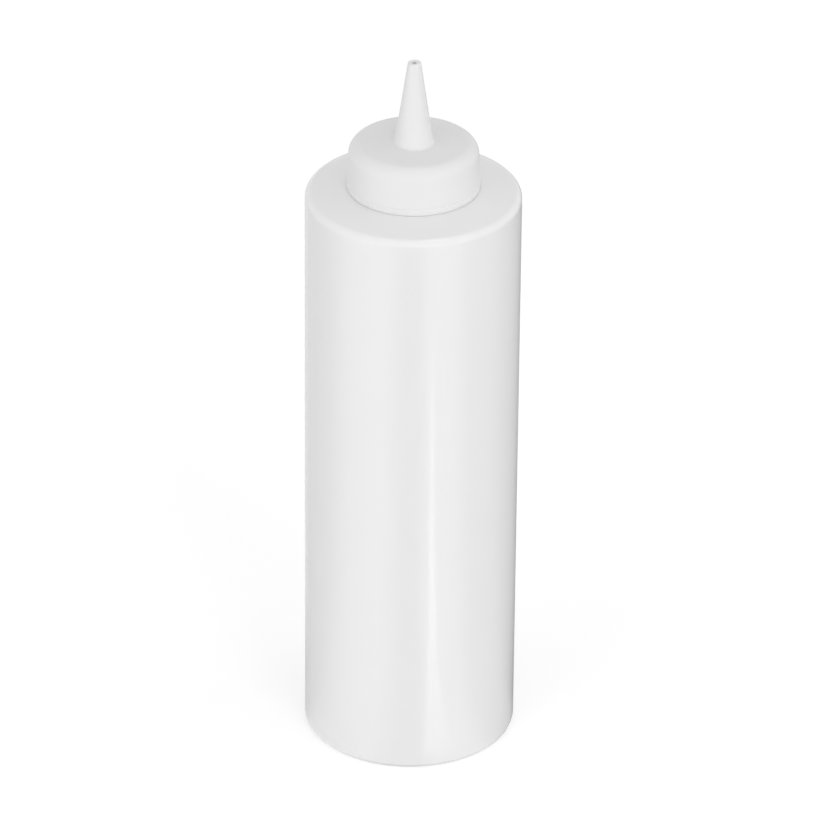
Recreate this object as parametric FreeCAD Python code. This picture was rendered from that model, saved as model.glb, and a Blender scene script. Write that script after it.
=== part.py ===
import FreeCAD, Part
import math
import os

# Squeeze bottle for sauces, in millimetres: a blow-moulded bottle with a screw neck, a moulded cap
# with its spout in one piece, and the ring that seals the cap on the rim. +Z is up and the origin
# is under the middle of the base. Heights add up from the floor: body, shoulder, neck, seal, cap.

# Bottle body
body_diameter = 70.0
body_wall = 1.2
corner_height = 198.2
corner_rounding = 2.4
shoulder_rise = 3.2
base_rounding = 1.6
standing_ring_diameter = 56.0
push_up_height = 3.0
push_up_flat_diameter = 34.0
push_up_rounding = 8.0
least_rounding = 0.4

# Bottle neck
neck_diameter = 35.0
neck_wall = 2.0
neck_height = 11.7
neck_root_rounding = 1.2
rim_rounding = 0.5

# Screw thread, one start and right-handed
thread_lead = 4.233
thread_depth = 1.1
thread_root_width = 2.3
thread_crest_width = 0.9
thread_below_rim = 1.3
neck_thread_turns = 1.5
cap_thread_turns = 1.2
thread_fade_turns = 0.1
thread_radial_gap = 0.4
thread_flank_gap = 0.25
thread_root_sink = 0.4

# Sealing ring, loose in the ceiling of the cap and held there by the cap's thread
seal_thickness = 1.2
seal_edge_gap = 0.3

# Cap
cap_top_wall = 2.0
cap_skirt_wall = 2.3
cap_draft = 0.35
cap_edge_rounding = 4.3
cap_foot_gap = 0.15
foot_bead_height = 1.95
foot_bead_stand = 0.25
foot_bead_rounding = 0.2

# Spout
spout_length = 28.3
spout_base_diameter = 12.5
spout_tip_diameter = 4.3
spout_base_rounding = 0.8
spout_tip_rounding = 0.35
spout_base_wall = 1.2
outlet_diameter = 1.6
outlet_length = 4.0

# Heights and radii that follow from the sizes above
body_radius = body_diameter / 2
neck_radius = neck_diameter / 2
neck_bore_radius = neck_radius - neck_wall
shoulder_slope = shoulder_rise / (body_radius - neck_radius)
neck_root_height = corner_height + shoulder_rise
rim_height = neck_root_height + neck_height
cap_ceiling_height = rim_height + seal_thickness
cap_top_height = cap_ceiling_height + cap_top_wall
tip_height = cap_top_height + spout_length
cap_bore_radius = neck_radius + thread_depth + thread_radial_gap
cap_foot_radius = cap_bore_radius + cap_skirt_wall
cap_crown_radius = cap_foot_radius - cap_draft
neck_thread_top = rim_height - thread_below_rim - thread_root_width / 2
past_the_end = 2.0

# How finely the forms are drawn: the most that a chord may leave its rounding, and the turn
# between two sections of a thread, in degrees
chord_sag = 0.1
thread_step = 15.0


def rounded_face(corners):
    """Face in the XZ plane round (radius, height, rounding) corners, each rounded by short chords."""
    points = []
    for index, (radius, height, rounding) in enumerate(corners):
        corner = FreeCAD.Vector(radius, 0, height)
        if rounding == 0:
            points.append(corner)
            continue
        before = corners[index - 1]
        after = corners[(index + 1) % len(corners)]
        to_before = (FreeCAD.Vector(before[0], 0, before[1]) - corner).normalize()
        to_after = (FreeCAD.Vector(after[0], 0, after[1]) - corner).normalize()
        half_angle = to_before.getAngle(to_after) / 2
        reach = rounding / math.tan(half_angle)
        centre = corner + (to_before + to_after).normalize() * (rounding / math.sin(half_angle))
        start_arm = corner + to_before * reach - centre
        end_arm = corner + to_after * reach - centre
        turn = math.pi - 2 * half_angle
        chords = math.ceil(turn / (2 * math.acos(1 - chord_sag / rounding)))
        for step in range(chords + 1):
            along = turn * step / chords
            arm = start_arm * math.sin(turn - along) + end_arm * math.sin(along)
            points.append(centre + arm / math.sin(turn))
    return Part.Face(Part.makePolygon(points + [points[0]]))


def turned(corners):
    """Solid made by turning a rounded outline once round the Z axis."""
    return rounded_face(corners).revolve(FreeCAD.Vector(0, 0, 0), FreeCAD.Vector(0, 0, 1), 360)


def shoulder_height(radius):
    """Height of the shoulder's outer face at a distance from the axis."""
    return corner_height + shoulder_slope * (body_radius - radius)


def cap_foot_height(radius):
    """Height of the cap's foot, which follows the shoulder under it with a small gap."""
    return shoulder_height(radius) + cap_foot_gap


def inner_rounding(outer_rounding):
    """Rounding inside a wall whose outer face has the given rounding."""
    return max(outer_rounding - body_wall, least_rounding)


def thread_section(angle, root_radius, crest_radius, middle_height):
    """Closed section of a thread ridge, cut by the half-plane at the given angle."""
    outline = [
        (root_radius, -thread_root_width / 2),
        (crest_radius, -thread_crest_width / 2),
        (crest_radius, thread_crest_width / 2),
        (root_radius, thread_root_width / 2),
    ]
    points = []
    for radius, offset in outline:
        height = middle_height + offset
        points.append(FreeCAD.Vector(radius * math.cos(angle), radius * math.sin(angle), height))
    return Part.makePolygon(points + [points[0]])


def thread_ridge(wall_radius, depth, top_height, turns):
    """Ridge that winds down from top_height; depth is above zero outwards and below zero inwards.

    The foot of the ridge is sunk in its wall, and both its ends fade into that wall.
    """
    side = math.copysign(1.0, depth)
    steps = round(turns * 360 / thread_step)
    sections = []
    for step in range(steps + 1):
        turned_by = turns * step / steps
        to_end = min(turned_by, turns - turned_by)
        share = min(to_end / thread_fade_turns, 1.0)
        crest = wall_radius + depth * share - side * thread_root_sink / 2 * (1 - share)
        root = wall_radius - side * thread_root_sink
        angle = -2 * math.pi * turned_by
        sections.append(thread_section(angle, root, crest, top_height - thread_lead * turned_by))
    return Part.makeLoft(sections, True, False)


def make_bottle():
    """Thin shell of the bottle with its pushed-up base, sloping shoulder and threaded neck."""
    ring_radius = standing_ring_diameter / 2
    flat_radius = push_up_flat_diameter / 2
    form = turned([
        (0, push_up_height, 0),
        (flat_radius, push_up_height, push_up_rounding),
        (ring_radius, 0, base_rounding),
        (body_radius, 0, base_rounding),
        (body_radius, corner_height, corner_rounding),
        (neck_radius, neck_root_height, neck_root_rounding),
        (neck_radius, rim_height, rim_rounding),
        (0, rim_height, 0),
    ])
    shoulder_drop = body_wall * math.sqrt(1 + shoulder_slope ** 2)
    side_radius = body_radius - body_wall
    hollow = turned([
        (0, push_up_height + body_wall, 0),
        (flat_radius, push_up_height + body_wall, push_up_rounding),
        (ring_radius, body_wall, base_rounding),
        (side_radius, body_wall, inner_rounding(base_rounding)),
        (side_radius, shoulder_height(side_radius) - shoulder_drop, inner_rounding(corner_rounding)),
        (neck_bore_radius, shoulder_height(neck_bore_radius) - shoulder_drop, neck_root_rounding),
        (neck_bore_radius, rim_height + past_the_end, 0),
        (0, rim_height + past_the_end, 0),
    ])
    ridge = thread_ridge(neck_radius, thread_depth, neck_thread_top, neck_thread_turns)
    return form.cut(hollow).fuse(ridge)


def make_sealing_ring():
    """Flat ring between the rim of the neck and the ceiling of the cap."""
    outer_radius = cap_bore_radius - seal_edge_gap
    return turned([
        (neck_bore_radius, rim_height, 0),
        (outer_radius, rim_height, 0),
        (outer_radius, cap_ceiling_height, 0),
        (neck_bore_radius, cap_ceiling_height, 0),
    ])


def make_spout_cap():
    """Smooth round cap with a rounded crown, a threaded skirt and the tapered spout, in one piece."""
    bead_radius = cap_foot_radius + foot_bead_stand
    foot_bottom = cap_foot_height(bead_radius)
    bead_top = foot_bottom + foot_bead_height
    outlet_radius = outlet_diameter / 2
    spout_bore_radius = spout_base_diameter / 2 - spout_base_wall
    form = turned([
        (0, cap_foot_height(cap_bore_radius), 0),
        (cap_bore_radius, cap_foot_height(cap_bore_radius), 0),
        (bead_radius, foot_bottom, foot_bead_rounding),
        (bead_radius, bead_top, foot_bead_rounding),
        (cap_foot_radius, bead_top, 0),
        (cap_crown_radius, cap_top_height, cap_edge_rounding),
        (spout_base_diameter / 2, cap_top_height, spout_base_rounding),
        (spout_tip_diameter / 2, tip_height, spout_tip_rounding),
        (0, tip_height, 0),
    ])
    hollow = turned([
        (0, foot_bottom - past_the_end, 0),
        (cap_bore_radius, foot_bottom - past_the_end, 0),
        (cap_bore_radius, cap_ceiling_height, 0),
        (spout_bore_radius, cap_ceiling_height, 0),
        (outlet_radius, tip_height - outlet_length, 0),
        (outlet_radius, tip_height + past_the_end, 0),
        (0, tip_height + past_the_end, 0),
    ])
    ridge = thread_ridge(cap_bore_radius, -thread_depth, cap_thread_top(), cap_thread_turns)
    return form.cut(hollow).fuse(ridge)


def cap_thread_top():
    """Height of the cap's ridge where it starts, one flank gap under the neck's ridge."""
    flank_slope = (thread_root_width - thread_crest_width) / 2 / (thread_depth + thread_root_sink)
    engaged_depth = thread_depth - thread_radial_gap
    spacing = thread_crest_width + flank_slope * engaged_depth + thread_flank_gap
    return neck_thread_top - spacing


pieces = {
    "bottle": make_bottle(),
    "sealing_ring": make_sealing_ring(),
    "spout_cap": make_spout_cap(),
}

os.makedirs("parts", exist_ok=True)
for name, shape in pieces.items():
    shape.exportStep("parts/" + name + ".step")
    print(name, "solids", len(shape.Solids), "valid", shape.isValid(), "volume", round(shape.Volume))
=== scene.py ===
"""Looks of a white squeeze bottle with a screw cap and a tapered spout.

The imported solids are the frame. The bottle and its cap are modelled again here as smooth moulded
pieces with soft threads, a parting line and a pinch-off seam, and each rides on the body of the solid
that it stands for. The sealing ring keeps its solid. Lengths are metres, and +Z is up.
"""

from __future__ import annotations

import logging
import math
from dataclasses import dataclass
from enum import Enum
from typing import Callable

import bpy
from mathutils import Matrix, Vector

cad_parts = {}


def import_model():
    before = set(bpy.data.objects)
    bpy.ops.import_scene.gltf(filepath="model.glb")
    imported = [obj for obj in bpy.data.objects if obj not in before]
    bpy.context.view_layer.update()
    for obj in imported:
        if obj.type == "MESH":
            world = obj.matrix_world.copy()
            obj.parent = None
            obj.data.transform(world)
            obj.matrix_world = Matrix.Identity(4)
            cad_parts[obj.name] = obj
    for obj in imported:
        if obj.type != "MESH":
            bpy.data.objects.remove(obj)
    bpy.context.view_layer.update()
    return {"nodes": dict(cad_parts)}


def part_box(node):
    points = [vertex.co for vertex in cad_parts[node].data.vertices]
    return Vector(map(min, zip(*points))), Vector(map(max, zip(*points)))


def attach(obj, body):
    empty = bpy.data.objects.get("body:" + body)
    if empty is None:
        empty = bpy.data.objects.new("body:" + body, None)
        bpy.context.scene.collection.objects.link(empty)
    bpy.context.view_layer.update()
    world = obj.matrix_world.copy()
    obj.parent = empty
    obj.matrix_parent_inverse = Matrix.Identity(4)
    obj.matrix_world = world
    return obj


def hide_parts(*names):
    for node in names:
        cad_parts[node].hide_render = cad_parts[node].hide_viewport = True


LOG = logging.getLogger("squeeze_bottle")
MM = 0.001
# Steps of a spin once round the axis, and how near to a place a vertex counts as being there
TURN_STEPS = 240
TOUCH = 0.002 * MM
# Fewest segments of a rounding, and the degrees that each of its segments turns
LEAST_SEGMENTS = 4
SEGMENT_TURN = 7.5


class Spread(Enum):
    """Which way a thread stands away from its wall."""

    OUTWARD = 1.0
    INWARD = -1.0


@dataclass(frozen=True)
class Corner:
    """One corner of a turned outline.

    Args:
        radius: Distance from the bottle's axis.
        height: Height above the floor.
        rounding: Radius of the arc that rounds the corner, or zero for a sharp one.
    """

    radius: float
    height: float
    rounding: float = 0.0

    def place(self) -> Vector:
        """The corner's point in the XZ plane."""
        return Vector((self.radius, 0.0, self.height))


@dataclass(frozen=True)
class Thread:
    """A one-start right-handed ridge on a round wall.

    Args:
        lead: Rise of one turn.
        depth: How far the ridge stands away from its wall.
        root_width: Width of the ridge at its wall.
        crest_width: Width of the ridge at its crest.
        turns: Number of turns.
        fade_turns: Turns over which each end of the ridge fades into the wall.
        top: Height of the ridge's middle where it starts, at angle zero.
        spread: Which way the ridge stands.
    """

    lead: float
    depth: float
    root_width: float
    crest_width: float
    turns: float
    fade_turns: float
    top: float
    spread: Spread

    def stand(self, angle: float, height: float) -> float:
        """How far the wall stands out at a place on it.

        Args:
            angle: Angle about the axis, in radians.
            height: Height above the floor.

        Returns:
            The stand of the ridge there, above zero away from the axis.
        """
        turned_at_zero = (-angle / math.tau) % 1.0
        most = 0.0
        for lap in range(math.ceil(self.turns) + 1):
            turned = turned_at_zero + lap
            if turned > self.turns:
                break
            share = min(turned, self.turns - turned) / self.fade_turns
            off = abs(height - (self.top - self.lead * turned))
            flank = (self.root_width / 2 - off) / ((self.root_width - self.crest_width) / 2)
            most = max(most, soft_step(flank) * soft_step(share))
        return self.spread.value * self.depth * most


def soft_step(value: float) -> float:
    """Smooth rise from zero to one as value goes from zero to one."""
    held = min(max(value, 0.0), 1.0)
    return held * held * (3.0 - 2.0 * held)


def linear_colour(code: str) -> tuple[float, float, float, float]:
    """Turn an sRGB colour to a linear one.

    Args:
        code: Hex code such as "F0F0F0".

    Returns:
        Linear red, green and blue, and full alpha.
    """
    parts = [int(code[at:at + 2], 16) / 255 for at in (0, 2, 4)]
    lit = [p / 12.92 if p <= 0.04045 else ((p + 0.055) / 1.055) ** 2.4 for p in parts]
    return (lit[0], lit[1], lit[2], 1.0)


def add_node(
    tree: bpy.types.NodeTree,
    kind: str,
    links: dict[str, bpy.types.NodeSocket] | None = None,
    sockets: dict[str, object] | None = None,
    **settings: object,
) -> bpy.types.Node:
    """Add a shader node with its settings, socket values and links.

    Args:
        tree: Node tree that takes the node.
        kind: Blender's name of the node type.
        links: Input names, each with the output that feeds it.
        sockets: Input names, each with the value set on it.
        settings: The node's own properties.

    Returns:
        The new node.
    """
    node = tree.nodes.new(kind)
    for name, value in settings.items():
        setattr(node, name, value)
    for name, value in (sockets or {}).items():
        node.inputs[name].default_value = value
    for name, output in (links or {}).items():
        tree.links.new(output, node.inputs[name])
    return node


def deselect_all() -> None:
    """Leave object mode with nothing selected, so an operator acts on one piece alone."""
    if bpy.context.object is not None and bpy.context.object.mode != "OBJECT":
        bpy.ops.object.mode_set(mode="OBJECT")
    bpy.ops.object.select_all(action="DESELECT")


def pick_vertices(obj: bpy.types.Object, wanted: Callable[[Vector], bool]) -> None:
    """Select the vertices of an object in edit mode by their place.

    Args:
        obj: Object that is being edited.
        wanted: Says of a vertex's place whether it is picked.
    """
    bpy.ops.mesh.select_mode(type="VERT")
    bpy.ops.mesh.select_all(action="DESELECT")
    bpy.ops.object.mode_set(mode="OBJECT")
    for vertex in obj.data.vertices:
        vertex.select = wanted(vertex.co)
    bpy.ops.object.mode_set(mode="EDIT")


def draw_outline(name: str, corners: list[Corner]) -> bpy.types.Object:
    """Draw a closed outline in the XZ plane and round its corners.

    One corner of a plane is kept and extruded from corner to corner. The outline is then filled, so
    that each corner can be bevelled, and its face is taken out again.

    Args:
        name: Name of the new piece.
        corners: Corners in order.

    Returns:
        The object, left in edit mode.
    """
    deselect_all()
    bpy.ops.mesh.primitive_plane_add(size=MM, location=(0, 0, 0))
    obj = bpy.context.object
    obj.name = obj.data.name = name
    bpy.ops.object.mode_set(mode="EDIT")
    pick_vertices(obj, lambda place: not (place.x < 0 and place.y < 0))
    bpy.ops.mesh.delete(type="VERT")
    bpy.ops.mesh.select_all(action="SELECT")
    start = corners[0].place() - Vector((-MM / 2, -MM / 2, 0.0))
    bpy.ops.transform.translate(value=start)
    for before, after in zip(corners, corners[1:]):
        bpy.ops.mesh.extrude_vertices_move(
            TRANSFORM_OT_translate={"value": after.place() - before.place()}
        )
    bpy.ops.mesh.select_all(action="SELECT")
    bpy.ops.mesh.edge_face_add()
    for at, corner in enumerate(corners):
        if corner.rounding > 0:
            round_corner(obj, corners[at - 1], corner, corners[(at + 1) % len(corners)])
    bpy.ops.mesh.select_all(action="SELECT")
    bpy.ops.mesh.delete(type="ONLY_FACE")
    return obj


def round_corner(obj: bpy.types.Object, before: Corner, corner: Corner, after: Corner) -> None:
    """Bevel one corner of a filled outline to the corner's rounding.

    Args:
        obj: Outline in edit mode.
        before: Corner before this one.
        corner: Corner to round.
        after: Corner after this one.
    """
    place = corner.place()
    half = (before.place() - place).angle(after.place() - place) / 2
    pick_vertices(obj, lambda point: (point - place).length < TOUCH)
    turn = math.degrees(math.pi - 2 * half)
    bpy.ops.mesh.bevel(
        offset_type="OFFSET",
        offset=corner.rounding / math.tan(half),
        segments=max(LEAST_SEGMENTS, round(turn / SEGMENT_TURN)),
        profile=0.5,
        affect="VERTICES",
        clamp_overlap=False,
    )


def open_axis(obj: bpy.types.Object) -> None:
    """Take out the edge of an outline that lies on the axis, so that spinning leaves no web there."""
    pick_vertices(obj, lambda point: abs(point.x) < TOUCH)
    bpy.ops.mesh.delete(type="EDGE_FACE")


def spin_round(obj: bpy.types.Object) -> None:
    """Spin an outline once round the Z axis, close its poles and point its faces outwards.

    Args:
        obj: Outline in edit mode, which is left in object mode.
    """
    bpy.ops.mesh.select_all(action="SELECT")
    bpy.ops.mesh.spin(steps=TURN_STEPS, angle=math.tau, center=(0, 0, 0), axis=(0, 0, 1))
    bpy.ops.mesh.select_all(action="SELECT")
    bpy.ops.mesh.remove_doubles(threshold=TOUCH)
    bpy.ops.mesh.normals_make_consistent(inside=False)
    bpy.ops.object.mode_set(mode="OBJECT")


def cut_wall(obj: bpy.types.Object, radius: float, low: float, high: float, cuts: int) -> None:
    """Cut one straight upright wall of an outline into short edges, so that it can take a thread.

    Args:
        obj: Outline in edit mode.
        radius: Distance of the wall from the axis.
        low: Lowest height of the wall.
        high: Highest height of the wall.
        cuts: Number of cuts.
    """
    pick_vertices(
        obj,
        lambda point: abs(point.x - radius) < TOUCH and low - TOUCH < point.z < high + TOUCH,
    )
    bpy.ops.mesh.subdivide(number_cuts=cuts)


def raise_thread(obj: bpy.types.Object, wall_radius: float, thread: Thread) -> None:
    """Move a finely cut wall out or in by its thread.

    Args:
        obj: Spun piece in object mode.
        wall_radius: Distance of the wall from the axis.
        thread: The ridge on it.
    """
    for vertex in obj.data.vertices:
        place = vertex.co
        radius = math.hypot(place.x, place.y)
        if abs(radius - wall_radius) > TOUCH:
            continue
        stand = thread.stand(math.atan2(place.y, place.x), place.z)
        place.x *= (radius + stand) / radius
        place.y *= (radius + stand) / radius


def finish_shading(obj: bpy.types.Object) -> None:
    """Smooth a piece's shading and let its large faces lead, so flats stay flat beside roundings.

    Args:
        obj: Piece in object mode.
    """
    deselect_all()
    obj.select_set(True)
    bpy.context.view_layer.objects.active = obj
    bpy.ops.object.shade_smooth()
    bpy.ops.object.modifier_add(type="WEIGHTED_NORMAL")
    bpy.ops.object.modifier_apply(modifier=obj.modifiers[-1].name)


def dress(obj: bpy.types.Object, material: bpy.types.Material) -> None:
    """Give a piece one material all over."""
    obj.data.materials.clear()
    obj.data.materials.append(material)


def blank_material(name: str) -> bpy.types.Material:
    """Make a material with an empty node tree.

    Args:
        name: Name of the material.

    Returns:
        The new material.
    """
    made = bpy.data.materials.new(name)
    made.use_nodes = True
    made.node_tree.nodes.clear()
    return made


@dataclass(frozen=True)
class BlownPolyethylene:
    """White low-density polyethylene, blown into a polished mould.

    The skin is softly glossy and a little uneven, because it only leans on the mould as it cools.
    Light goes about a millimetre into the wall, which softens its shade. A real parting line is a
    tenth or two of a millimetre wide, and is drawn wider so that it shows.
    """

    colour: str = "F1F1F1"
    roughness: float = 0.15
    roughness_spread: float = 0.03
    ior: float = 1.51
    scatter_depth: float = 1.2 * MM
    wave_length: float = 38.0 * MM
    wave_height: float = 0.05 * MM
    upright_scale: float = 0.35
    peel_size: float = 1.6 * MM
    peel_height: float = 0.004 * MM
    parting_width: float = 0.6 * MM
    parting_height: float = 0.022 * MM

    def parting_line(
        self, tree: bpy.types.NodeTree, place: bpy.types.NodeSocket
    ) -> bpy.types.NodeSocket:
        """Add the faint ridge where the two halves of the mould met, in the XZ plane.

        Args:
            tree: Node tree of the material.
            place: Object coordinates.

        Returns:
            A height that is one on the line and zero beside it.
        """
        split = add_node(tree, "ShaderNodeSeparateXYZ", links={"Vector": place})
        aside = add_node(tree, "ShaderNodeMath", operation="ABSOLUTE")
        tree.links.new(split.outputs["Y"], aside.inputs[0])
        ridge = add_node(
            tree,
            "ShaderNodeMapRange",
            links={"Value": aside.outputs["Value"]},
            sockets={"From Max": self.parting_width / 2, "To Min": 1.0, "To Max": 0.0},
            interpolation_type="SMOOTHSTEP",
        )
        return ridge.outputs["Result"]

    def material(self) -> bpy.types.Material:
        """Build the material.

        Returns:
            The new material.
        """
        made = blank_material("blown_polyethylene")
        tree = made.node_tree
        where = add_node(tree, "ShaderNodeTexCoord")
        stretched = add_node(
            tree,
            "ShaderNodeMapping",
            links={"Vector": where.outputs["Object"]},
            sockets={"Scale": (1.0, 1.0, self.upright_scale)},
        )
        waves = add_node(
            tree,
            "ShaderNodeTexNoise",
            links={"Vector": stretched.outputs["Vector"]},
            sockets={"Scale": 1 / self.wave_length, "Detail": 1.0, "Roughness": 0.4},
        )
        peel = add_node(
            tree,
            "ShaderNodeTexNoise",
            links={"Vector": where.outputs["Object"]},
            sockets={"Scale": 1 / self.peel_size, "Detail": 2.0, "Roughness": 0.5},
        )
        uneven = add_node(
            tree,
            "ShaderNodeBump",
            links={"Height": waves.outputs["Fac"]},
            sockets={"Strength": 1.0, "Distance": self.wave_height},
        )
        skin = add_node(
            tree,
            "ShaderNodeBump",
            links={"Height": peel.outputs["Fac"], "Normal": uneven.outputs["Normal"]},
            sockets={"Strength": 1.0, "Distance": self.peel_height},
        )
        seam = add_node(
            tree,
            "ShaderNodeBump",
            links={
                "Height": self.parting_line(tree, where.outputs["Object"]),
                "Normal": skin.outputs["Normal"],
            },
            sockets={"Strength": 1.0, "Distance": self.parting_height},
        )
        gloss = add_node(
            tree,
            "ShaderNodeMapRange",
            links={"Value": waves.outputs["Fac"]},
            sockets={
                "To Min": self.roughness - self.roughness_spread,
                "To Max": self.roughness + self.roughness_spread,
            },
        )
        shader = add_node(
            tree,
            "ShaderNodeBsdfPrincipled",
            links={"Roughness": gloss.outputs["Result"], "Normal": seam.outputs["Normal"]},
            sockets={
                "Base Color": linear_colour(self.colour),
                "IOR": self.ior,
                "Subsurface Weight": 1.0,
                "Subsurface Radius": (1.0, 1.0, 1.0),
                "Subsurface Scale": self.scatter_depth,
            },
        )
        add_node(tree, "ShaderNodeOutputMaterial", links={"Surface": shader.outputs["BSDF"]})
        return made


@dataclass(frozen=True)
class MouldedPolyethylene:
    """White low-density polyethylene, injection-moulded against spark-eroded steel.

    The steel's fine grain leaves the skin matt, so the cap has a soft sheen and no sharp glints.
    The real grain is about a tenth of a millimetre, and is drawn coarser so that it shows.
    """

    colour: str = "EAEAEA"
    roughness: float = 0.5
    ior: float = 1.51
    scatter_share: float = 0.45
    scatter_depth: float = 1.0 * MM
    grain_size: float = 0.35 * MM
    grain_height: float = 0.012 * MM

    def material(self) -> bpy.types.Material:
        """Build the material.

        Returns:
            The new material.
        """
        made = blank_material("moulded_polyethylene")
        tree = made.node_tree
        where = add_node(tree, "ShaderNodeTexCoord")
        grain = add_node(
            tree,
            "ShaderNodeTexNoise",
            links={"Vector": where.outputs["Object"]},
            sockets={"Scale": 1 / self.grain_size, "Detail": 3.0, "Roughness": 0.6},
        )
        skin = add_node(
            tree,
            "ShaderNodeBump",
            links={"Height": grain.outputs["Fac"]},
            sockets={"Strength": 1.0, "Distance": self.grain_height},
        )
        shader = add_node(
            tree,
            "ShaderNodeBsdfPrincipled",
            links={"Normal": skin.outputs["Normal"]},
            sockets={
                "Base Color": linear_colour(self.colour),
                "Roughness": self.roughness,
                "IOR": self.ior,
                "Subsurface Weight": self.scatter_share,
                "Subsurface Radius": (1.0, 1.0, 1.0),
                "Subsurface Scale": self.scatter_depth,
            },
        )
        add_node(tree, "ShaderNodeOutputMaterial", links={"Surface": shader.outputs["BSDF"]})
        return made


@dataclass(frozen=True)
class FoamSheet:
    """White polyethylene foam, cut from sheet: dull, with fine closed cells on its skin."""

    colour: str = "E6E6E3"
    roughness: float = 0.8
    cell_size: float = 0.5 * MM
    cell_height: float = 0.06 * MM
    cell_strength: float = 0.7

    def material(self) -> bpy.types.Material:
        """Build the material.

        Returns:
            The new material.
        """
        made = blank_material("foam_sheet")
        tree = made.node_tree
        where = add_node(tree, "ShaderNodeTexCoord")
        cells = add_node(
            tree,
            "ShaderNodeTexVoronoi",
            links={"Vector": where.outputs["Object"]},
            sockets={"Scale": 1 / self.cell_size},
        )
        skin = add_node(
            tree,
            "ShaderNodeBump",
            links={"Height": cells.outputs["Distance"]},
            sockets={"Strength": self.cell_strength, "Distance": self.cell_height},
        )
        shader = add_node(
            tree,
            "ShaderNodeBsdfPrincipled",
            links={"Normal": skin.outputs["Normal"]},
            sockets={"Base Color": linear_colour(self.colour), "Roughness": self.roughness},
        )
        add_node(tree, "ShaderNodeOutputMaterial", links={"Surface": shader.outputs["BSDF"]})
        return made


@dataclass
class ScrewFinish:
    """Sizes that the neck and the cap share."""

    lead: float = 4.233 * MM
    depth: float = 1.1 * MM
    root_width: float = 2.3 * MM
    crest_width: float = 0.9 * MM
    root_sink: float = 0.4 * MM
    fade_turns: float = 0.1
    below_rim: float = 1.3 * MM
    neck_turns: float = 1.5
    cap_turns: float = 1.2
    radial_gap: float = 0.4 * MM
    flank_gap: float = 0.25 * MM
    cuts: int = 44

    def flank_slope(self) -> float:
        """How much each flank leans in for each length that the ridge stands out."""
        return (self.root_width - self.crest_width) / 2 / (self.depth + self.root_sink)

    def spacing(self) -> float:
        """Drop from the middle of the neck's ridge to the middle of the cap's ridge."""
        engaged = self.depth - self.radial_gap
        return self.crest_width + self.flank_slope() * engaged + self.flank_gap

    def ridge(self, top: float, turns: float, spread: Spread) -> Thread:
        """Work out the ridge of the neck or of the cap.

        Args:
            top: Height of the ridge's middle where it starts.
            turns: Number of turns.
            spread: Which way the ridge stands.

        Returns:
            The ridge, whose root is as wide as its flanks make it at the wall.
        """
        return Thread(
            lead=self.lead,
            depth=self.depth,
            root_width=self.crest_width + 2 * self.flank_slope() * self.depth,
            crest_width=self.crest_width,
            turns=turns,
            fade_turns=self.fade_turns,
            top=top,
            spread=spread,
        )


@dataclass
class Bottle:
    """The blown bottle: base, body, shoulder and threaded neck in one wall."""

    radius: float
    rim_height: float
    finish: ScrewFinish
    wall: float = 1.2 * MM
    corner_height: float = 198.2 * MM
    corner_rounding: float = 2.4 * MM
    shoulder_rise: float = 3.2 * MM
    base_rounding: float = 1.6 * MM
    ring_radius: float = 28.0 * MM
    push_up: float = 3.0 * MM
    push_up_radius: float = 17.0 * MM
    push_up_rounding: float = 8.0 * MM
    neck_radius: float = 17.5 * MM
    neck_wall: float = 2.0 * MM
    neck_root_rounding: float = 1.2 * MM
    rim_rounding: float = 0.5 * MM

    def slope(self) -> float:
        """Rise of the shoulder for each length that it goes towards the axis."""
        return self.shoulder_rise / (self.radius - self.neck_radius)

    def shoulder_height(self, radius: float) -> float:
        """Height of the shoulder's outer face at a distance from the axis."""
        return self.corner_height + self.slope() * (self.radius - radius)

    def thread_top(self) -> float:
        """Height of the middle of the neck's ridge where it starts."""
        return self.rim_height - self.finish.below_rim - self.finish.root_width / 2

    def outline(self) -> list[Corner]:
        """List the corners of the wall.

        Returns:
            The corners, from the middle of the base outside, over the rim, to the middle inside.
        """
        bore = self.neck_radius - self.neck_wall
        side = self.radius - self.wall
        drop = self.wall * math.sqrt(1 + self.slope() ** 2)
        return [
            Corner(0.0, self.push_up),
            Corner(self.push_up_radius, self.push_up, self.push_up_rounding),
            Corner(self.ring_radius, 0.0, self.base_rounding),
            Corner(self.radius, 0.0, self.base_rounding),
            Corner(self.radius, self.corner_height, self.corner_rounding),
            Corner(
                self.neck_radius, self.shoulder_height(self.neck_radius), self.neck_root_rounding
            ),
            Corner(self.neck_radius, self.rim_height, self.rim_rounding),
            Corner(bore, self.rim_height, self.rim_rounding),
            Corner(bore, self.shoulder_height(bore) - drop, self.neck_root_rounding),
            Corner(side, self.shoulder_height(side) - drop, self.corner_rounding - self.wall),
            Corner(side, self.wall, self.base_rounding - self.wall),
            Corner(self.ring_radius, self.wall, self.base_rounding),
            Corner(self.push_up_radius, self.push_up + self.wall, self.push_up_rounding),
            Corner(0.0, self.push_up + self.wall),
        ]

    def build(self) -> bpy.types.Object:
        """Spin the wall, raise its thread and let it ride on the bottle's body.

        Returns:
            The finished shell.
        """
        obj = draw_outline("bottle_shell", self.outline())
        cut_wall(
            obj,
            self.neck_radius,
            self.shoulder_height(self.neck_radius),
            self.rim_height,
            self.finish.cuts,
        )
        open_axis(obj)
        spin_round(obj)
        ridge = self.finish.ridge(self.thread_top(), self.finish.neck_turns, Spread.OUTWARD)
        raise_thread(obj, self.neck_radius, ridge)
        finish_shading(obj)
        dress(obj, BlownPolyethylene().material())
        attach(obj, "bottle")
        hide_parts("bottle")
        return obj


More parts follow.
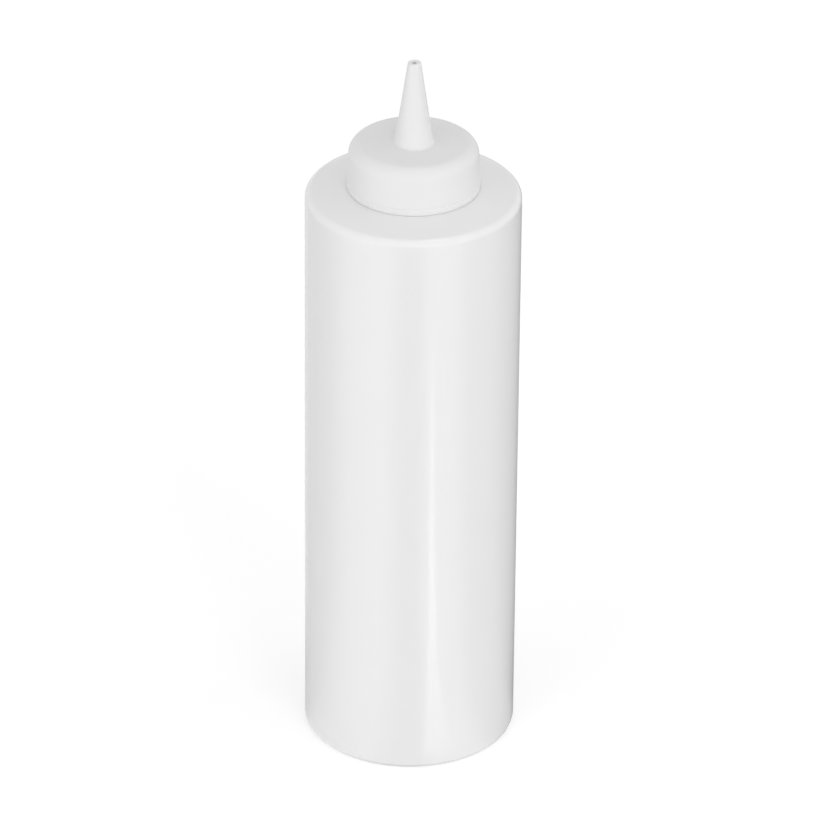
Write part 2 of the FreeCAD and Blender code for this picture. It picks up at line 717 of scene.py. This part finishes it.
@dataclass
class PinchOff:
    """The low ridge under the base, where the mould nipped the blown tube shut."""

    bottle: Bottle
    length: float = 31.0 * MM
    width: float = 1.3 * MM
    stand: float = 0.45 * MM
    sink: float = 0.35 * MM
    end_width: float = 0.6 * MM
    rounding: float = 0.25 * MM
    cuts: int = 3
    flat_angle: float = 1.0

    def build(self) -> bpy.types.Object:
        """Draw the ridge out from a block, taper its ends, round it and fix it to the base.

        Returns:
            The finished ridge.
        """
        deselect_all()
        face = self.bottle.push_up
        bpy.ops.mesh.primitive_cube_add(size=1.0, location=(0, 0, 0))
        obj = bpy.context.object
        obj.name = obj.data.name = "pinch_off_seam"
        bpy.ops.object.mode_set(mode="EDIT")
        bpy.ops.mesh.select_all(action="SELECT")
        height = self.stand + self.sink
        bpy.ops.transform.resize(value=(self.length, self.width, height))
        bpy.ops.transform.translate(value=(0.0, 0.0, face + self.sink - height / 2))
        bpy.ops.mesh.subdivide(number_cuts=self.cuts)
        pick_vertices(obj, lambda place: abs(place.x) > self.length / 2 - TOUCH)
        bpy.ops.transform.resize(value=(1.0, self.end_width / self.width, 1.0))
        bpy.ops.mesh.select_all(action="SELECT")
        bpy.ops.mesh.dissolve_limited(angle_limit=math.radians(self.flat_angle))
        bpy.ops.mesh.select_all(action="SELECT")
        bpy.ops.mesh.bevel(
            offset=self.rounding, segments=LEAST_SEGMENTS, affect="EDGES", clamp_overlap=True
        )
        bpy.ops.mesh.select_all(action="SELECT")
        bpy.ops.mesh.normals_make_consistent(inside=False)
        bpy.ops.object.mode_set(mode="OBJECT")
        finish_shading(obj)
        dress(obj, BlownPolyethylene().material())
        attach(obj, "bottle")
        return obj


@dataclass
class SpoutCap:
    """The moulded cap: threaded skirt, rounded crown and tapered spout in one piece."""

    bottle: Bottle
    tip_height: float
    bead_radius: float
    finish: ScrewFinish
    seal_thickness: float = 1.2 * MM
    top_wall: float = 2.0 * MM
    foot_press: float = 0.02 * MM
    foot_rounding: float = 0.03 * MM
    draft: float = 0.35 * MM
    edge_rounding: float = 4.3 * MM
    bead_height: float = 1.95 * MM
    bead_stand: float = 0.25 * MM
    bead_rounding: float = 0.2 * MM
    spout_base_radius: float = 6.25 * MM
    spout_tip_radius: float = 2.15 * MM
    spout_base_rounding: float = 0.8 * MM
    spout_tip_rounding: float = 0.22 * MM
    spout_base_wall: float = 1.2 * MM
    outlet_radius: float = 0.8 * MM
    outlet_length: float = 4.0 * MM
    small_rounding: float = 0.2 * MM

    def bore_radius(self) -> float:
        """Distance from the axis to the wall inside the skirt."""
        return self.bottle.neck_radius + self.finish.depth + self.finish.radial_gap

    def ceiling_height(self) -> float:
        """Height of the ceiling that the sealing ring lies against."""
        return self.bottle.rim_height + self.seal_thickness

    def foot_height(self, radius: float) -> float:
        """Height of the foot, which follows the bottle's shoulder and presses on it a little."""
        return self.bottle.shoulder_height(radius) - self.foot_press

    def outline(self) -> list[Corner]:
        """List the corners of the wall.

        Returns:
            The corners, from the foot up the outside and back down the bore and the skirt.
        """
        bore = self.bore_radius()
        ceiling = self.ceiling_height()
        top = ceiling + self.top_wall
        foot = self.bead_radius - self.bead_stand
        bead_top = self.foot_height(self.bead_radius) + self.bead_height
        return [
            Corner(bore, self.foot_height(bore), self.small_rounding),
            Corner(self.bead_radius, self.foot_height(self.bead_radius), self.foot_rounding),
            Corner(self.bead_radius, bead_top, self.bead_rounding),
            Corner(foot, bead_top, self.small_rounding / 2),
            Corner(foot - self.draft, top, self.edge_rounding),
            Corner(self.spout_base_radius, top, self.spout_base_rounding),
            Corner(self.spout_tip_radius, self.tip_height, self.spout_tip_rounding),
            Corner(self.outlet_radius, self.tip_height, self.small_rounding),
            Corner(self.outlet_radius, self.tip_height - self.outlet_length),
            Corner(self.spout_base_radius - self.spout_base_wall, ceiling),
            Corner(bore, ceiling),
        ]

    def build(self) -> bpy.types.Object:
        """Spin the wall, raise its inner thread and let it ride on the cap's body.

        Returns:
            The finished cap.
        """
        obj = draw_outline("cap_shell", self.outline())
        bore = self.bore_radius()
        cut_wall(obj, bore, self.foot_height(bore), self.ceiling_height(), self.finish.cuts)
        spin_round(obj)
        start = self.bottle.thread_top() - self.finish.spacing()
        ridge = self.finish.ridge(start, self.finish.cap_turns, Spread.INWARD)
        raise_thread(obj, bore, ridge)
        finish_shading(obj)
        dress(obj, MouldedPolyethylene().material())
        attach(obj, "cap")
        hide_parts("spout_cap")
        return obj


@dataclass
class SealingRing:
    """The foam ring in the cap's ceiling, which keeps its solid and gets its finish here."""

    node: bpy.types.Object

    def build(self) -> bpy.types.Object:
        """Dress the ring's own solid.

        Returns:
            The ring.
        """
        dress(self.node, FoamSheet().material())
        return self.node


class Serves(Enum):
    """What a lamp lights: the soft shading of the skins, or their glints alone."""

    SHADING = "shading"
    GLINTS = "glints"


@dataclass(frozen=True)
class Softbox:
    """One large soft lamp, so far off that it lights the floor evenly.

    Args:
        name: Name of the lamp.
        azimuth: Degrees to the right of the camera, seen from the bottle.
        elevation: Degrees above the floor.
        spread: Degrees across, seen from the bottle.
        strength: Watts on each square metre that faces it.
        serves: What it lights.
        stand_off: How far off its sign stands in the scene, which doesn't change its light.
    """

    name: str
    azimuth: float
    elevation: float
    spread: float
    strength: float
    serves: Serves = Serves.SHADING
    stand_off: float = 2.0

    def build(self) -> None:
        """Add the lamp."""
        turn, lift = math.radians(self.azimuth), math.radians(self.elevation)
        back = Vector(
            (math.sin(turn) * math.cos(lift), -math.cos(turn) * math.cos(lift), math.sin(lift))
        )
        data = bpy.data.lights.new(self.name, "SUN")
        data.angle = math.radians(self.spread)
        data.energy = self.strength
        lamp = bpy.data.objects.new(self.name, data)
        lamp.rotation_mode = "QUATERNION"
        lamp.rotation_quaternion = back.to_track_quat("Z", "Y")
        lamp.location = back * self.stand_off
        lamp.visible_glossy = self.serves is Serves.GLINTS
        lamp.visible_diffuse = self.serves is Serves.SHADING
        bpy.context.scene.collection.objects.link(lamp)


def seen_directly(tree: bpy.types.NodeTree) -> bpy.types.NodeSocket:
    """Add a switch that tells what is looked at from what only lights.

    Args:
        tree: Node tree that takes the switch.

    Returns:
        One for camera, glossy and transmission rays, and zero for soft light.
    """
    path = add_node(tree, "ShaderNodeLightPath")
    seen = path.outputs["Is Camera Ray"]
    for kind in ("Is Glossy Ray", "Is Transmission Ray"):
        either = add_node(tree, "ShaderNodeMath", operation="MAXIMUM")
        tree.links.new(seen, either.inputs[0])
        tree.links.new(path.outputs[kind], either.inputs[1])
        seen = either.outputs["Value"]
    return seen


def show_in_reflections_only(obj: bpy.types.Object) -> None:
    """Hide a card from the camera and from soft light, so that glossy skins alone mirror it.

    Args:
        obj: The card or strip.
    """
    obj.visible_camera = obj.visible_diffuse = obj.visible_shadow = False
    obj.visible_transmission = obj.visible_volume_scatter = False


def glow_ramp(
    tree: bpy.types.NodeTree, factor: bpy.types.NodeSocket, stops: tuple[tuple[float, float], ...]
) -> bpy.types.Node:
    """Add a grey ramp.

    Args:
        tree: Node tree that takes the ramp.
        factor: Place on the ramp, from zero to one.
        stops: Pairs of place and brightness, both from zero to one.

    Returns:
        The ramp's node.
    """
    ramp = add_node(tree, "ShaderNodeValToRGB", links={"Fac": factor})
    while len(ramp.color_ramp.elements) < len(stops):
        ramp.color_ramp.elements.new(0.5)
    for element, (place, bright) in zip(ramp.color_ramp.elements, stops):
        element.position = place
        element.color = (bright, bright, bright, 1.0)
    return ramp


@dataclass(frozen=True)
class ReflectionStrip:
    """A long narrow glow on the floor, which is the thin bright streak on the bottle's wall.

    The camera looks down on an upright wall, so the wall mirrors the floor before it. The higher a
    place on the wall is, the farther off is the floor that it mirrors.

    Args:
        azimuth: Degrees to the right of the camera, seen from the bottle.
        near: Distance of its near end from the bottle's axis.
        far: Distance of its far end from the bottle's axis.
        near_width: Width at the near end.
        far_width: Width at the far end.
        peak: Greatest brightness.
        stops: Pairs of share of the length and share of the peak.
        lift: Height above the floor.
    """

    azimuth: float = 21.0
    near: float = 42.0 * MM
    far: float = 365.0 * MM
    near_width: float = 18.0 * MM
    far_width: float = 8.0 * MM
    peak: float = 3.8
    stops: tuple[tuple[float, float], ...] = (
        (0.0, 0.40),
        (0.11, 0.55),
        (0.38, 1.0),
        (0.75, 1.0),
        (0.95, 0.0),
    )
    lift: float = 1.0 * MM

    def material(self) -> bpy.types.Material:
        """Build a glow that changes with the distance from the bottle's axis.

        Returns:
            The new material.
        """
        made = blank_material("reflection_strip")
        tree = made.node_tree
        where = add_node(tree, "ShaderNodeTexCoord")
        reach = add_node(
            tree,
            "ShaderNodeVectorMath",
            links={"Vector": where.outputs["Object"]},
            operation="LENGTH",
        )
        share = add_node(
            tree,
            "ShaderNodeMapRange",
            links={"Value": reach.outputs["Value"]},
            sockets={"From Min": self.near, "From Max": self.far},
        )
        ramp = glow_ramp(tree, share.outputs["Result"], self.stops)
        glow = add_node(
            tree,
            "ShaderNodeEmission",
            links={"Color": ramp.outputs["Color"]},
            sockets={"Strength": self.peak},
        )
        add_node(tree, "ShaderNodeOutputMaterial", links={"Surface": glow.outputs["Emission"]})
        return made

    def build(self) -> None:
        """Lay the strip on the floor."""
        deselect_all()
        bpy.ops.mesh.primitive_plane_add(size=1.0, location=(0, 0, 0))
        strip = bpy.context.object
        strip.name = "reflection_strip"
        bpy.ops.object.mode_set(mode="EDIT")
        length = self.far - self.near
        middle = (self.far + self.near) / 2
        bpy.ops.mesh.select_all(action="SELECT")
        bpy.ops.transform.resize(value=(self.near_width, length, 1.0))
        pick_vertices(strip, lambda point: point.y < 0)
        bpy.ops.transform.resize(value=(self.far_width / self.near_width, 1.0, 1.0))
        bpy.ops.mesh.select_all(action="SELECT")
        bpy.ops.transform.translate(value=(0.0, -middle, self.lift))
        bpy.ops.transform.rotate(
            value=-math.radians(self.azimuth), orient_axis="Z", center_override=(0.0, 0.0, 0.0)
        )
        bpy.ops.object.mode_set(mode="OBJECT")
        dress(strip, self.material())
        show_in_reflections_only(strip)


@dataclass(frozen=True)
class ReflectionCard:
    """A round card that lies on the floor and shows in glossy reflections alone.

    The wall of the bottle mirrors the floor all round it. The card gives it white boards to the
    left and to the right of the camera, the gap between them, and a dark room at the far right.

    Args:
        stops: Pairs of degrees to the right of the camera and brightness there.
        radius: Radius of the card.
        near_share: Share of the brightness that is left at the foot of the bottle.
        foot_reach: Distance from the axis to the foot of the bottle.
        near_reach: Distance from the axis at which the card is fully bright.
        lift: Height above the floor.
        sides: Number of sides that make the card round.
    """

    stops: tuple[tuple[float, float], ...] = (
        (-180.0, 0.80),
        (-150.0, 0.82),
        (-120.0, 0.62),
        (-90.0, 0.70),
        (-62.0, 1.45),
        (-28.0, 1.45),
        (-8.0, 0.10),
        (6.0, 0.10),
        (18.0, 1.20),
        (42.0, 1.20),
        (60.0, 0.25),
        (88.0, 0.30),
        (106.0, 0.05),
        (128.0, 0.15),
        (165.0, 0.25),
        (180.0, 0.80),
    )
    radius: float = 3.0
    near_share: float = 0.85
    foot_reach: float = 35.0 * MM
    near_reach: float = 90.0 * MM
    lift: float = 0.5 * MM
    sides: int = 96

    def material(self) -> bpy.types.Material:
        """Build a glow that changes with the direction from the bottle's axis.

        Returns:
            The new material.
        """
        made = blank_material("reflection_card")
        tree = made.node_tree
        peak = max(bright for _, bright in self.stops)
        where = add_node(tree, "ShaderNodeTexCoord")
        turned = add_node(
            tree,
            "ShaderNodeMapping",
            links={"Vector": where.outputs["Object"]},
            sockets={"Rotation": (0.0, 0.0, math.pi / 2)},
        )
        round_it = add_node(
            tree,
            "ShaderNodeTexGradient",
            links={"Vector": turned.outputs["Vector"]},
            gradient_type="RADIAL",
        )
        shares = tuple((azimuth / 360.0 + 0.5, bright / peak) for azimuth, bright in self.stops)
        ramp = glow_ramp(tree, round_it.outputs["Fac"], shares)
        reach = add_node(
            tree,
            "ShaderNodeVectorMath",
            links={"Vector": where.outputs["Object"]},
            operation="LENGTH",
        )
        fall = add_node(
            tree,
            "ShaderNodeMapRange",
            links={"Value": reach.outputs["Value"]},
            sockets={
                "From Min": self.foot_reach,
                "From Max": self.near_reach,
                "To Min": peak * self.near_share,
                "To Max": peak,
            },
        )
        glow = add_node(
            tree,
            "ShaderNodeEmission",
            links={"Color": ramp.outputs["Color"], "Strength": fall.outputs["Result"]},
        )
        add_node(tree, "ShaderNodeOutputMaterial", links={"Surface": glow.outputs["Emission"]})
        return made

    def build(self) -> None:
        """Lay the card on the floor."""
        deselect_all()
        bpy.ops.mesh.primitive_circle_add(
            vertices=self.sides, radius=self.radius, fill_type="NGON", location=(0, 0, self.lift)
        )
        card = bpy.context.object
        card.name = "reflection_card"
        dress(card, self.material())
        show_in_reflections_only(card)


@dataclass
class Studio:
    """Camera, pale floor and soft light.

    The camera's place was found from the outline of the bottle in the photograph: how high it looks
    down from, how far off it stands, and how far it leans. Angles are in degrees, the focal length
    and the sensor's width are in millimetres, and a floor_lift or ambient of 1 is white.
    """

    target_height: float = 115.94 * MM
    elevation: float = 30.0
    distance: float = 2099.9 * MM
    lean: float = 0.491
    side_step: float = 0.47 * MM
    focal: float = 279.2
    sensor: float = 36.0
    clip: tuple[float, float] = (0.05, 50.0)
    floor_size: float = 12.0
    floor_bounce: str = "E6E6E6"
    floor_lift: float = 0.22
    ambient: float = 0.70
    lamps: tuple[Softbox, ...] = (
        Softbox("key_box", azimuth=28.0, elevation=8.0, spread=30.0, strength=0.90),
        Softbox("fill_box", azimuth=-45.0, elevation=8.0, spread=50.0, strength=0.57),
        Softbox("side_box", azimuth=-80.0, elevation=12.0, spread=40.0, strength=0.13),
        Softbox("high_box", azimuth=88.0, elevation=33.0, spread=45.0, strength=0.19),
        Softbox(
            "glint_box", azimuth=100.0, elevation=79.0, spread=14.0, strength=0.26, serves=Serves.GLINTS
        ),
    )

    def camera(self) -> None:
        """Place the camera."""
        lift, lean = math.radians(self.elevation), math.radians(self.lean)
        back = Vector((0.0, -math.cos(lift), math.sin(lift)))
        right = Vector((1.0, 0.0, 0.0))
        up = right.cross(-back)
        across = right * math.cos(lean) + up * math.sin(lean)
        upright = up * math.cos(lean) - right * math.sin(lean)
        data = bpy.data.cameras.new("camera")
        data.lens = self.focal
        data.sensor_width = self.sensor
        data.clip_start, data.clip_end = self.clip
        camera = bpy.data.objects.new("camera", data)
        turned = Matrix((across, upright, back)).transposed()
        place = Vector((0.0, 0.0, self.target_height)) + back * self.distance
        camera.matrix_world = Matrix.Translation(place + across * self.side_step) @ turned.to_4x4()
        bpy.context.scene.collection.objects.link(camera)
        bpy.context.scene.camera = camera

    def floor(self) -> None:
        """Lay the floor, which is lifted a little where it is seen or mirrored, so that it is pale."""
        deselect_all()
        bpy.ops.mesh.primitive_plane_add(size=self.floor_size, location=(0, 0, 0))
        floor = bpy.context.object
        floor.name = "floor"
        made = blank_material("pale_floor")
        tree = made.node_tree
        bounce = add_node(
            tree, "ShaderNodeBsdfDiffuse", sockets={"Color": linear_colour(self.floor_bounce)}
        )
        seen = add_node(tree, "ShaderNodeBsdfDiffuse", sockets={"Color": (1.0, 1.0, 1.0, 1.0)})
        lifted = add_node(tree, "ShaderNodeEmission", sockets={"Strength": self.floor_lift})
        both = tree.nodes.new("ShaderNodeAddShader")
        tree.links.new(seen.outputs["BSDF"], both.inputs[0])
        tree.links.new(lifted.outputs["Emission"], both.inputs[1])
        mixed = tree.nodes.new("ShaderNodeMixShader")
        tree.links.new(seen_directly(tree), mixed.inputs[0])
        tree.links.new(bounce.outputs["BSDF"], mixed.inputs[1])
        tree.links.new(both.outputs["Shader"], mixed.inputs[2])
        add_node(tree, "ShaderNodeOutputMaterial", links={"Surface": mixed.outputs["Shader"]})
        dress(floor, made)

    def world(self) -> None:
        """Fill the room with even light, and show white where it is seen or mirrored."""
        world = bpy.data.worlds.new("studio")
        world.use_nodes = True
        tree = world.node_tree
        tree.nodes.clear()
        room = add_node(
            tree,
            "ShaderNodeBackground",
            sockets={"Color": (1.0, 1.0, 1.0, 1.0), "Strength": self.ambient},
        )
        white = add_node(
            tree,
            "ShaderNodeBackground",
            sockets={"Color": (1.0, 1.0, 1.0, 1.0), "Strength": 1.0},
        )
        mixed = tree.nodes.new("ShaderNodeMixShader")
        tree.links.new(seen_directly(tree), mixed.inputs[0])
        tree.links.new(room.outputs["Background"], mixed.inputs[1])
        tree.links.new(white.outputs["Background"], mixed.inputs[2])
        add_node(tree, "ShaderNodeOutputWorld", links={"Surface": mixed.outputs["Shader"]})
        bpy.context.scene.world = world

    def build(self) -> None:
        """Set up the whole studio."""
        self.camera()
        self.floor()
        ReflectionCard().build()
        ReflectionStrip().build()
        self.world()
        for lamp in self.lamps:
            lamp.build()
        bpy.context.scene.view_settings.view_transform = "Standard"


def main() -> None:
    """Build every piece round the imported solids, and then the studio."""
    logging.basicConfig(level=logging.INFO, format="%(name)s: %(message)s")
    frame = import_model()
    bottle_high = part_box("bottle")[1]
    cap_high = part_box("spout_cap")[1]
    finish = ScrewFinish()
    bottle = Bottle(radius=bottle_high.x, rim_height=bottle_high.z, finish=finish)
    cap = SpoutCap(bottle=bottle, tip_height=cap_high.z, bead_radius=cap_high.x, finish=finish)
    ring = SealingRing(frame["nodes"]["sealing_ring"])
    pinch_off = PinchOff(bottle)
    for piece in (bottle.build(), pinch_off.build(), cap.build(), ring.build()):
        LOG.info("%s: %d faces", piece.name, len(piece.data.polygons))
    Studio().build()


if __name__ == "__main__":
    main()
